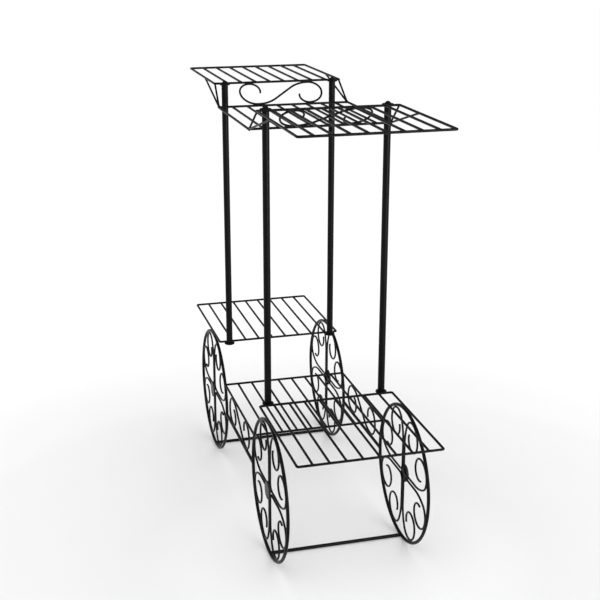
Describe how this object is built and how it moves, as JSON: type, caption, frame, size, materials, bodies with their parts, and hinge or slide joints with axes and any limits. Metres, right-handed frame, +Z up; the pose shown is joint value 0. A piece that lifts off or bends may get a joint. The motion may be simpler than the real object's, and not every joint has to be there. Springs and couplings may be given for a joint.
{
  "type": "flower cart stand",
  "caption": "Free-standing wire flower cart stand: slatted shelves on two levels joined by tube posts, carried by fixed round wheels filled with scrollwork.",
  "frame": {"origin": "on the floor, under the middle of the cart between its four wheels", "axes": "+X to the right across the cart, +Y to the rear along its length, +Z up from the floor it stands on"},
  "size_m": [0.27, 0.8866, 0.8206],
  "materials": {
    "rims": "satin black powder coat",
    "scrollwork": "satin black powder coat",
    "hub_discs": "satin black powder coat",
    "base_bars": "satin black powder coat",
    "shelf_frames": "satin black powder coat",
    "shelf_slats": "satin black powder coat",
    "posts": "satin black powder coat",
    "collars": "satin black powder coat",
    "braces": "satin black powder coat",
    "plugs": "black moulded plastic"
  },
  "bodies": {
    "root": {"rim_front_left": "rims", "wheel_scrolls_front_left": "scrollwork", "hub_disc_front_left": "hub_discs", "post_front_left": "posts", "braces_front_left": "braces", "rim_front_right": "rims", "wheel_scrolls_front_right": "scrollwork", "hub_disc_front_right": "hub_discs", "post_front_right": "posts", "braces_front_right": "braces", "cross_bar_front": "base_bars", "end_scroll_front": "scrollwork", "rim_rear_left": "rims", "wheel_scrolls_rear_left": "scrollwork", "hub_disc_rear_left": "hub_discs", "post_rear_left": "posts", "braces_rear_left": "braces", "rim_rear_right": "rims", "wheel_scrolls_rear_right": "scrollwork", "hub_disc_rear_right": "hub_discs", "post_rear_right": "posts", "braces_rear_right": "braces", "cross_bar_rear": "base_bars", "end_scroll_rear": "scrollwork", "side_rail_left": "base_bars", "side_scroll_left": "scrollwork", "side_rail_right": "base_bars", "side_scroll_right": "scrollwork", "lower_front_frame": "shelf_frames", "lower_front_slats": "shelf_slats", "lower_middle_frame": "shelf_frames", "lower_middle_slats": "shelf_slats", "lower_rear_frame": "shelf_frames", "lower_rear_slats": "shelf_slats", "collars_lower": "collars", "post_plugs_lower": "plugs", "upper_front_frame": "shelf_frames", "upper_front_slats": "shelf_slats", "upper_middle_frame": "shelf_frames", "upper_middle_slats": "shelf_slats", "upper_rear_frame": "shelf_frames", "upper_rear_slats": "shelf_slats", "collars_upper": "collars", "post_plugs_upper": "plugs"}
  },
  "joints": []
}
